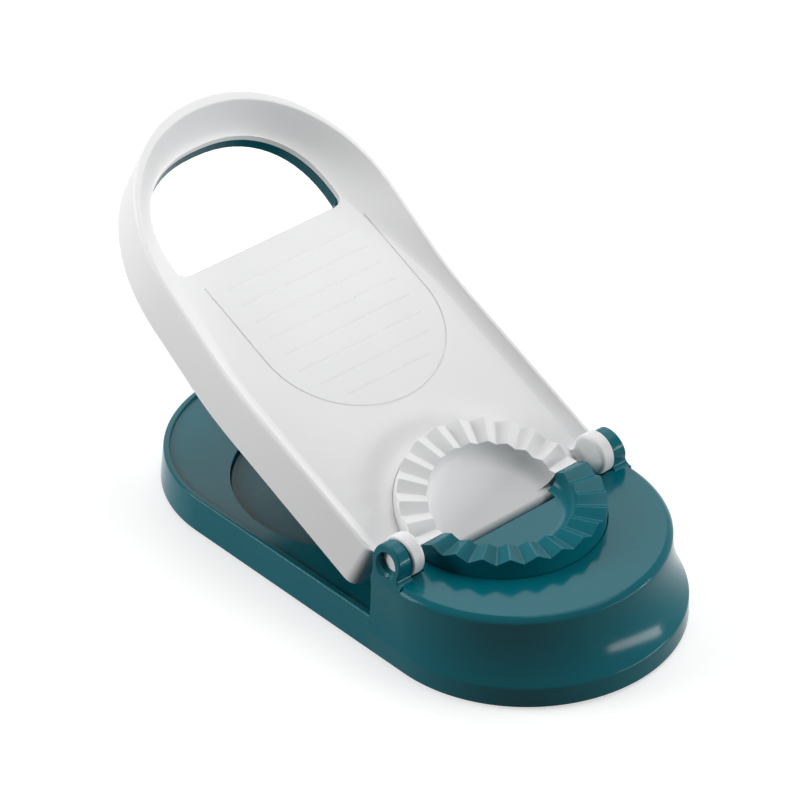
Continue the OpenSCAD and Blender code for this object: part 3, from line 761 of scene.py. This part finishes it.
# The pocket's upper edge is eased, which draws a thin bright line round the ring.
eased, eased_middle = 0.35, 0.1
pocket_edge = [(0, mould_seat_z), (pocket_r, mould_seat_z), (pocket_r, front_deck_z - eased),
               (pocket_r + eased_middle, front_deck_z - eased_middle), (pocket_r + eased, front_deck_z),
               (pocket_r + eased, hinge_z + 1), (0, hinge_z + 1)]
pocket = worked(turned(pocket_edge), ("cut", box(-half_w, 0, -half_w, half_w, 0, 2 * hinge_z)))
base_mesh = worked(
    front_block(), ("join", rear_block()), ("join", ear(1)), ("join", ear(-1)),
    ("cut", base_hollow()),
    ("cut", prism(circle(bed_r + slip_gap, -bed_at, steps=144), bed_z - bed_t, front_deck_z)),
    ("cut", pocket),
    ("cut", box(step_x - 1, split, -ear_in, ear_in, shelf_z, hinge_z + ear_r + 1)),
    ("cut", box(step_x - 1, notch_x, -notch_y, notch_y, shelf_z, hinge_z + ear_r + 1)))
ear_face = ear_out + ear_spread * ear_r / (hinge_z + ear_r - ear_foot)
bore_r, flare_in, flare_out = pin_r + run_gap, 0.7, 0.9
for s in (-1, 1):
    trough = prism(circle(barrel_r + swing_gap, 0, hinge_z),
                   *sorted((s * (barrel_y - swing_gap), s * ear_in)), "Y")
    bore = on_hinge([(0, ear_in - 1), (bore_r, ear_in - 1), (bore_r, ear_face - flare_in),
                     (bore_r + flare_in + flare_out, ear_face + flare_out), (0, ear_face + flare_out)],
                    s, hinge_z)
    base_mesh = worked(base_mesh, ("cut", trough), ("cut", bore))
boss_roof = 0.8
base_mesh = worked(
    base_mesh, *drilled(base_screw_places, screw_r + thread_gap, 0, bed_z - bed_t - boss_roof),
    *drilled(lower_screw_places, screw_r + slip_gap, mould_seat_z - base_wall - 1, mould_seat_z + 1))
piece("base_casing", base_mesh, base_board, "base", teal, "base_shell")

# %% [markdown]
# ## The lower half ring
# The ring's teeth are flat facets that fan out from the middle of the hinge, so the two
# half rings bite face to face. A polar grid follows that rule directly: each slice through the
# ring is one profile, from the bowl's floor over the toothed band and down the outer wall.
# Extra slices beside each ridge and valley round it a little, which is what catches the light.

# %% Slices of the teeth
round_deg = 0.55
# How far a slice stands from its ridge or valley, and how much of the rounding it takes
beside_ridge = ((-1.0, 0.5), (-0.45, 0.14), (0, 0.0), (0.45, 0.14), (1.0, 0.5))


def tooth_slices():
    """Angles of the slices, each with its share of a tooth's height."""
    half = 90 / teeth
    slices = []
    for i in range(2 * teeth + 1):
        middle = -90 + half * i
        level = 0.0 if i % 2 == 0 else 1.0
        for d, lost in beside_ridge:
            a = middle + d * round_deg
            if -90 <= a <= 90:
                soft = round_deg / half * (0.5 + lost)
                slices.append((a, abs(level - soft)))
        if i < 2 * teeth:
            for part in (0.35, 0.65):
                share = part if level == 0 else 1 - part
                slices.append((middle + half * part, share))
    return slices


print("slices through a half ring:", len(tooth_slices()))

# %% [markdown]
# The two half rings differ only in their levels and in which way their teeth point, so one
# recipe makes both. The teeth's edges are broken by a small lip. A heap of wedges joined to a
# ring would look alike, but it would leave no single clean skin.

# %% Toothed half ring
lip = 0.3


def ring_solid(floor_z, edge_z, face_z, turn, seat_z):
    """Half ring with teeth that rise above the level face_z, or hang below it with turn = -1."""
    run, drop = ring_in - bowl_r, edge_z - floor_z
    points, slices, n = [(0, 0, floor_z), (0, 0, seat_z)], tooth_slices(), 0
    for angle, share in slices:
        slope = turn * share * tooth_h / ring_r
        wall_top = face_z + slope * ring_in - lip
        reach = acos(max(0.0, 1 - (wall_top - floor_z) / drop))
        rows = [(bowl_r * 0.5, floor_z)]
        rows += [(bowl_r + run * sin(reach * i / 12), floor_z + drop * (1 - cos(reach * i / 12)))
                 for i in range(12)]
        edge_r = bowl_r + run * sin(reach)
        rows += [(edge_r, wall_top), (edge_r + 0.3 * lip, wall_top + 0.7 * lip),
                 (edge_r + lip, face_z + slope * (edge_r + lip)),
                 (ring_r - lip, face_z + slope * (ring_r - lip)),
                 (ring_r - 0.3 * lip, face_z + slope * ring_r - 0.3 * lip),
                 (ring_r, face_z + slope * ring_r - lip), (ring_r, seat_z)]
        a, n = radians(angle), len(rows)
        points += [(r * cos(a), r * sin(a), z) for r, z in rows]
    faces = []
    for i in range(len(slices) - 1):
        here, there = 2 + i * n, 2 + (i + 1) * n
        faces += [(here + j, there + j, there + j + 1, here + j + 1) for j in range(n - 1)]
        faces += [(0, there, here), (1, here + n - 1, there + n - 1)]
    last = 2 + (len(slices) - 1) * n
    faces.append((0, *range(2, 2 + n), 1, *reversed(range(last, last + n))))
    beyond_split = box(-1, split, -half_w, half_w, seat_z - 1, face_z + 2 * tooth_h)
    return worked(solid(points, faces), ("cut", beyond_split))


lower_ring = ring_solid(front_deck_z - 0.1, hinge_z + tooth_h / 2, hinge_z, 1, mould_seat_z)
nose_room = box(-1, notch_x, 0.3 - notch_y, notch_y - 0.3, mould_seat_z - 1, front_deck_z + 0.2)
lower_ring = worked(lower_ring, ("cut", nose_room))
piece("lower_half_ring", lower_ring, base_board, "base", teal, "lower_mould")

# %% [markdown]
# ## The dough bed
# The bed is a shallow dish that drops into the rear deck. Its floor is flat so that the dough
# comes out even, and its edge rolls up to the deck.

# %% Dough bed
# Each pair says how far in from the edge and how far down a point of the rolled edge lies.
bed_roll = ((0, 0.4), (0.12, 0.12), (0.4, 0), (1.0, 0), (1.4, 0.12), (1.8, 0.34), (2.3, 0.4), (bed_r, 0.4))
bed_profile = [(0, bed_z - bed_t), (bed_r, bed_z - bed_t)] + [(bed_r - i, bed_z - d) for i, d in bed_roll]
# The bed's grained teal is darker as painted shade, because the bed lies in the lid's shadow.
piece("round_dough_bed", turned(bed_profile, x=-bed_at), base_board, "base",
      shade_painted_teal, "dough_bed")

# %% [markdown]
# ## The lid shell
# The lid is a long shallow shell: a skirt all round, a raised rim, and inside the rim a sunk
# flat panel that ends at the hand hole. Past a soft bend the rim climbs to the handle, and the
# slope from the rim down to the hole becomes a deep hollow. Rings again fit this best, from
# the skirt up and over the rim and down to the panel, with a curve for the hollow slope.

# %% Outline of the lid


def climb(u):
    """Smooth rise of the rim and skirt beyond the bend."""
    if u < bend_at - bend_soft:
        return 0.0
    if u < bend_at + bend_soft:
        return bend_rise * (u - bend_at + bend_soft) ** 2 / (4 * bend_soft)
    return bend_rise * (u - bend_at)


def panel_w(u):
    """Height of the panel, which climbs beyond the hand hole's straight edge."""
    return -panel_drop + max(0.0, u - hole_at) * hole_rise


def stations(start):
    """Distances from the hinge at which the straight sides have points, closer at the bend."""
    before, after, bend_start = 5, 14, bend_at - bend_soft
    even = [start + (bend_start - start) * i / before for i in range(before)]
    return even + [bend_start + (end_at - bend_at + bend_soft) * i / after for i in range(after)]


def lid_level(inset, start, w, tip=0.0, corner=0.0):
    """Side of the lid's outline, inset from the skirt's edge and at height w."""
    side = []
    if corner:
        r = max(0.2, corner - inset)
        side = [(start + r * (1 - cos(t)), lid_half - inset - r * (1 - sin(t)))
                for t in quarter_turn[:-1]]
        start += r
    side += [(u, lid_half - inset) for u in stations(start)]
    side += quarter(end_at, lid_len - inset - tip - end_at, lid_half - inset, end_power, 64)
    return [(u, y, w + climb(u)) for u, y in side]


print("the handle's end climbs by", round(climb(lid_len), 2), "mm")

# %% [markdown]
# The hollow slope runs between two curves: its toe round the panel and the hand hole, and its
# crest inside the rim. Blending them point by point, a little slower upward than across, gives
# the scooped form that a thumb finds comfortable.

# %% Slope inside the rim


def toe_level(grow, start):
    """Side of the recess's floor, along the panel and round the hand hole."""
    along = [u + (hole_at - end_at) * max(0.0, (u - bend_at) / (end_at - bend_at))
             for u in stations(start)]
    side = [(u, panel_half + grow - max(0.0, u - bend_at) * panel_taper) for u in along]
    side += quarter(hole_at, hole_len + hole_ledge + grow, hole_w / 2 + hole_ledge + grow, hole_power, 64)
    return [(u, y, panel_w(u) - grow) for u, y in side]


def between(low, high, across, up):
    """Outline part of the way from one to another, with separate shares along and upward."""
    return [(a[0] + (b[0] - a[0]) * across, a[1] + (b[1] - a[1]) * across,
             a[2] + (b[2] - a[2]) * up) for a, b in zip(low, high)]


def slope_rings(grow, start, crest_w):
    """Rings of the hollow slope from the panel up to the rim."""
    toe = toe_level(grow, start)
    crest = lid_level(lid_lean + rim_w - grow, start, crest_w, tip_band)
    lead_across, lead_up = 0.52, 0.16
    rings = []
    for t in (i / 10 for i in range(11)):
        bulge, rest = 2 * t * (1 - t), t * t
        rings.append(between(toe, crest, bulge * lead_across + rest, bulge * lead_up + rest))
    return rings


print("panel half width", round(panel_half, 2), "mm, narrowing by", round(panel_taper, 3), "per mm")

# %% [markdown]
# Four solids make the lid: its outside, the recess cut from above, the hand hole, and the
# hollow below. They share their outlines at different insets, so the wall stays even wherever
# the lid bends. Blender's solidify modifier would be shorter, but it pinches at the corners.

# %% Lid body, recess and hollow


def lid_body():
    """Outside of the lid, filled solid."""
    rows = rounded(0, skirt_w, 0.4, -1, 3)
    rows += [(lid_lean * i / 6, skirt_w + (-rim_drop - skirt_w) * i / 6) for i in range(1, 6)]
    rows += rounded(lid_lean, -rim_drop, 1.1)
    return loft([lid_level(inset, lid_front, w, corner=lid_corner) for inset, w in rows])


def recess(grow):
    """Room above the panel, inside the rim."""
    start = -2.0
    rings = slope_rings(grow, start, -rim_drop - 0.5)
    over = [lid_level(lid_lean + rim_w - grow - extra, start, w, tip_band)
            for extra, w in ((0.18, -rim_drop - 0.15), (0.55, -rim_drop + 0.02), (0.6, -rim_drop + 12))]
    return loft(rings + over)


def hand_hole():
    """Hole for the fingers: a straight edge, two small corners and a wide arch."""
    half = hole_w / 2
    side = [(hole_at + hole_corner * (1 - cos(t)), half - hole_corner * (1 - sin(t)), 0)
            for t in quarter_turn[:-1]]
    side += [(x, y, 0) for x, y in quarter(hole_at + hole_corner, hole_len - hole_corner, half,
                                           hole_power, 64)]
    return prism([(x, y) for x, y, _ in whole(side)], -40, 40)


lid_screw_places = [(u, s * y) for s in (-1, 1) for u, y in (
    (lid_front + 14.5, lid_half - 10.6), (bed_at, 48.9),
    (hole_at + 13.6, (hole_w / 2 + lid_half - lid_wall - 1.6) / 2))]
upper_screw_places = [(ring_in - ring_screw_in, 0), (14, ring_screw_y), (14, -ring_screw_y)]


def lid_hollow():
    """Room inside the lid, with the walls of its pocket and bosses left standing."""
    low, start = skirt_w + lid_lift + lid_wall, lid_front + lid_wall
    room = loft([lid_level(lid_wall, start, low, corner=lid_corner),
                 lid_level(lid_wall + lid_lean, start, -rim_drop - lid_wall, corner=lid_corner)])
    return worked(room, ("cut", recess(lid_wall)),
                  ("cut", prism(circle(pocket_r + lid_wall), upper_seat - lid_wall, 20)),
                  *drilled(lid_screw_places, boss_r, -hinge_z, hinge_z, 32))


print("hand hole", hole_w, "by", hole_len, "mm, screw bosses of the lid:", len(lid_screw_places))

# %% [markdown]
# A fine groove runs round the panel in the shape of a U, and inside the U lie rows of low
# ribs that give the thumb some grip. Both are thin solids: the groove is a tube that is cut
# out, and each rib a rounded bar that is joined on. Painted lines would catch no light.

# %% Grip field on the panel
field_y, field_half, field_u, field_len, field_top = 4.3, 37.5, 92.0, 36.0, 129.0
groove_r, rib_pitch, rib_inset, rib_first, rib_r, rib_sink = 0.42, 8.2, 8.0, 4.5, 0.34, 0.12
rib_bars = ((-1.0, -0.38), (-0.32, 0.28), (0.34, 1.0))  # shares of a row's half width


def tube(path, radius, sides=8):
    """Closed tube along points that lie in one level."""
    points, faces = [], []
    n = len(path)
    for i, (x, y, z) in enumerate(path):
        ahead, behind = path[min(i + 1, n - 1)], path[max(i - 1, 0)]
        along = Vector((ahead[0] - behind[0], ahead[1] - behind[1], 0)).normalized()
        side = Vector((-along.y, along.x, 0))
        for k in range(sides):
            a = 2 * pi * (k + 0.5) / sides
            up = Vector((0, 0, radius * sin(a)))
            points.append(Vector((x, y, z)) + side * radius * cos(a) + up)
    for i in range(n - 1):
        faces += [(i * sides + k, i * sides + (k + 1) % sides, (i + 1) * sides + (k + 1) % sides,
                   (i + 1) * sides + k) for k in range(sides)]
    faces += [tuple(range(sides)), tuple((n - 1) * sides + k for k in range(sides))]
    return solid(points, faces)


def groove():
    """Groove in the shape of a U, open toward the hand hole."""
    arc = [(field_u - field_len * sin(t), field_y + field_half * cos(t), -panel_drop)
           for t in (pi * i / 48 for i in range(49))]
    straight = [(u, field_y + field_half, -panel_drop) for u in (field_top, (field_top + field_u) / 2)]
    other = [(u, field_y - field_half, -panel_drop) for u, _, _ in reversed(straight)]
    return tube(straight + arc + other, groove_r)


def ribs():
    """Rows of three low bars that follow the U's round end."""
    made = []
    u = field_top - rib_first
    while u > field_u - field_len + rib_inset - 2:
        reach = 1.0 if u > field_u else sqrt(max(0.0, 1 - ((field_u - u) / (field_len - 3)) ** 2))
        half = (field_half - rib_inset) * reach
        for start, end in rib_bars:
            bar = [(u, field_y + half * (start + (end - start) * i / 6), -panel_drop - rib_sink)
                   for i in range(7)]
            made.append(tube(bar, rib_r))
        u -= rib_pitch
    return made


grip_ribs = ribs()
print("grip ribs:", len(grip_ribs))

# %% [markdown]
# A barrel at each side of the lid holds the hinge pin. It runs out into the panel in a soft
# web, because all the force of a squeeze passes through this spot.

# %% Barrels of the lid
web_soft, drum_soft, drum_edge = 3.0, 1.6, 0.4


def barrel(side):
    """Rounded barrel, and the hollow web that carries its load into the panel."""
    far = barrel_y + barrel_len
    round_end = [(barrel_r - drum_soft * (1 - sin(t)), barrel_y + drum_soft * (1 - cos(t)))
                 for t in quarter_turn]
    drum = on_hinge([(0, barrel_y), *round_end, (barrel_r, far - drum_edge),
                     (barrel_r - drum_edge, far), (0, far)], side)
    middle_w = web_soft - panel_drop
    reach = sqrt((barrel_r + web_soft) ** 2 - middle_w ** 2)
    first = atan2(-middle_w, -reach)
    curve = [(reach + web_soft * cos(a), middle_w + web_soft * sin(a))
             for a in (1.5 * pi + (first - 1.5 * pi) * i / 12 for i in range(13))]
    low = -panel_drop - lid_wall
    web = prism([(0, low), (reach, low), *curve, (0, 0)],
                *sorted((side * (barrel_y + 0.7), side * far)), "Y")
    return worked(drum, ("join", web))


print("barrels", barrel_len, "mm long and", 2 * barrel_r, "mm across")

# %% [markdown]
# The lid is put together in the same order as the base. The bay below takes the underplate,
# and the panel's edge at the hand hole is eased, since fingers pull on it.

# %% Lid shell


def half_disc(radius, low, high, back):
    """Part of a disc on the +x side of x = back."""
    turn = degrees(atan2(sqrt(radius ** 2 - back ** 2), back))
    return prism(circle(radius, steps=96, start=-turn, turn=2 * turn), low, high)


shelf = box(split, lid_front + lid_corner + lid_wall, -barrel_y - barrel_len, barrel_y + barrel_len,
            -panel_drop - lid_wall, -panel_drop)
lid_mesh = worked(lid_body(), ("join", shelf), ("cut", recess(0)), ("cut", lid_hollow()),
                  ("join", barrel(-1)), ("join", barrel(1)))
bay = loft([lid_level(lid_wall, lid_front + lid_wall, w, corner=lid_corner)
            for w in (skirt_w - 1, skirt_w + lid_lift + lid_wall)])
bore = prism(circle(pin_r + thread_gap, steps=64), -half_w, half_w, "Y")
holes = []
for u, y in lid_screw_places:
    low = skirt_w + climb(u)
    holes += drilled([(u, y)], screw_r + thread_gap, low, low + screw_len + 1)
holes += drilled(upper_screw_places, screw_r + slip_gap, upper_seat - lid_wall - 1, upper_seat + 1)
eased_half = hole_w / 2 - hole_corner
pull_edge = prism([(hole_at - 0.8, 0.3 - panel_drop), (hole_at + 1, 0.3 - panel_drop),
               (hole_at + 1, -panel_drop - 1.5)], -eased_half, eased_half, "Y")
lid_mesh = worked(lid_mesh, ("cut", hand_hole()), ("cut", pull_edge),
                  ("cut", half_disc(pocket_r, upper_seat, 20, -1)), ("cut", bay), ("cut", bore),
                  ("cut", groove()), *[("join", rib) for rib in grip_ribs], *holes)
piece("lid_casing", lid_mesh, lid_board, "lid", white, "lid_shell")

# %% [markdown]
# ## The upper half ring
# The lid's half ring mirrors the base's, with ridges where the other has valleys. Along the
# hinge its bowl ends in a rounded nose that tips the filled parcel over into the other half.

# %% Upper half ring
upper_ring = ring_solid(-panel_drop - bowl_sink, -bite_gap - tooth_h / 2, -bite_gap, -1, upper_seat)
nose = worked(prism(circle(nose_r, -nose_x, nose_w, steps=48), -ring_in, ring_in, "Y"),
              ("join", box(-nose_x, 2, -ring_in, ring_in, nose_w - nose_r, nose_w + nose_r)))
piece("upper_half_ring", worked(upper_ring, ("join", nose)), lid_board, "lid", white,
      "upper_mould")

# %% [markdown]
# ## Pieces that keep their measured form
# The underplate, the press plate, the bottom cover, the pins, the feet and the screws are
# simple enough as measured, so they only get their finishes and smooth shading.

# %% Finishes of the measured pieces


def dress(node, material):
    """Gives a measured piece its finish and smooth shading with sharp creases."""
    carried = frame["nodes"][node]
    carried.data.materials.clear()
    carried.data.materials.append(material)
    for face in carried.data.polygons:
        face.use_smooth = True
    carried.data.set_sharp_from_angle(angle=radians(30))


measured = {
    # The grained teal's darker colour is painted shade on these pieces, which sit in shadow.
    shade_painted_teal: ("base_bottom", "lid_underplate", "press_plate"),
    white: ("hinge_pin_left", "hinge_pin_right"),
    steel: ("base_screws", "lower_mould_screws", "lid_screws", "upper_mould_screws"),
    rubber: ("foot_rear_left", "foot_rear_right", "foot_front_left", "foot_front_right")}
for material, nodes in measured.items():
    for node in nodes:
        dress(node, material)
    print(material.name, "on", ", ".join(nodes))

# %% [markdown]
# ## Size and end
# The box of what is shown is compared with the frame's box, to see how far the looks grow the press.

# %% Compare the sizes and finish
shown_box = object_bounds()
grown = [[round((b - a) / MM, 2) for a, b in zip(*pair)] for pair in zip(cad_box, shown_box)]
print("grown by mm:", grown)
